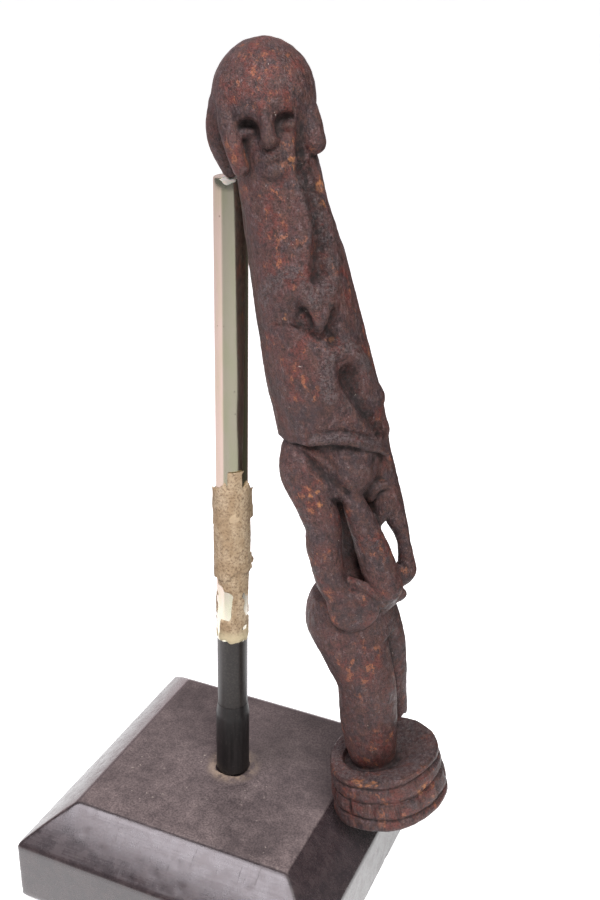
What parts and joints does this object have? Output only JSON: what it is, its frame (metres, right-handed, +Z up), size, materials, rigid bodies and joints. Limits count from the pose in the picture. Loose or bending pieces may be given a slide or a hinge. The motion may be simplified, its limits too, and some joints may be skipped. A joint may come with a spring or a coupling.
{
  "type": "carved ancestor figure",
  "caption": "Small dark wooden ancestor figure with a tall headdress and finial head, leaning on a metal rod that stands in a bevelled black block.",
  "frame": {"origin": "centre of the felt's underside, where the stand rests, on the rod's axis", "axes": "+Z up along the rod, +X towards the edge of the block that the figure's pedestal overhangs, -Y towards the figure's finial face"},
  "size_m": [0.0814, 0.0676, 0.1747],
  "materials": {
    "carved_wood": "matte, dark smoke-blackened patina with reddish-brown rubbed edges",
    "ebonised_wood": "satin black stain, dusty on top",
    "rod_metal": "polished round bar, dull and slightly yellowed",
    "black_sleeve": "satin shrunk tube",
    "old_tape": "dry, yellowed cloth tape with ragged edges",
    "dried_glue": "matte, dried white glue",
    "fixing_metal": "zinc plated",
    "base_baize": "dark napped baize"
  },
  "bodies": {
    "root": {"carved_figure": "carved_wood", "base_block": "ebonised_wood", "support_rod": "rod_metal", "foot_sleeve": "black_sleeve", "tape_wrap": "old_tape", "head_adhesive": "dried_glue", "fixing_screw": "fixing_metal", "fixing_washer": "fixing_metal", "base_felt": "base_baize"}
  },
  "joints": []
}
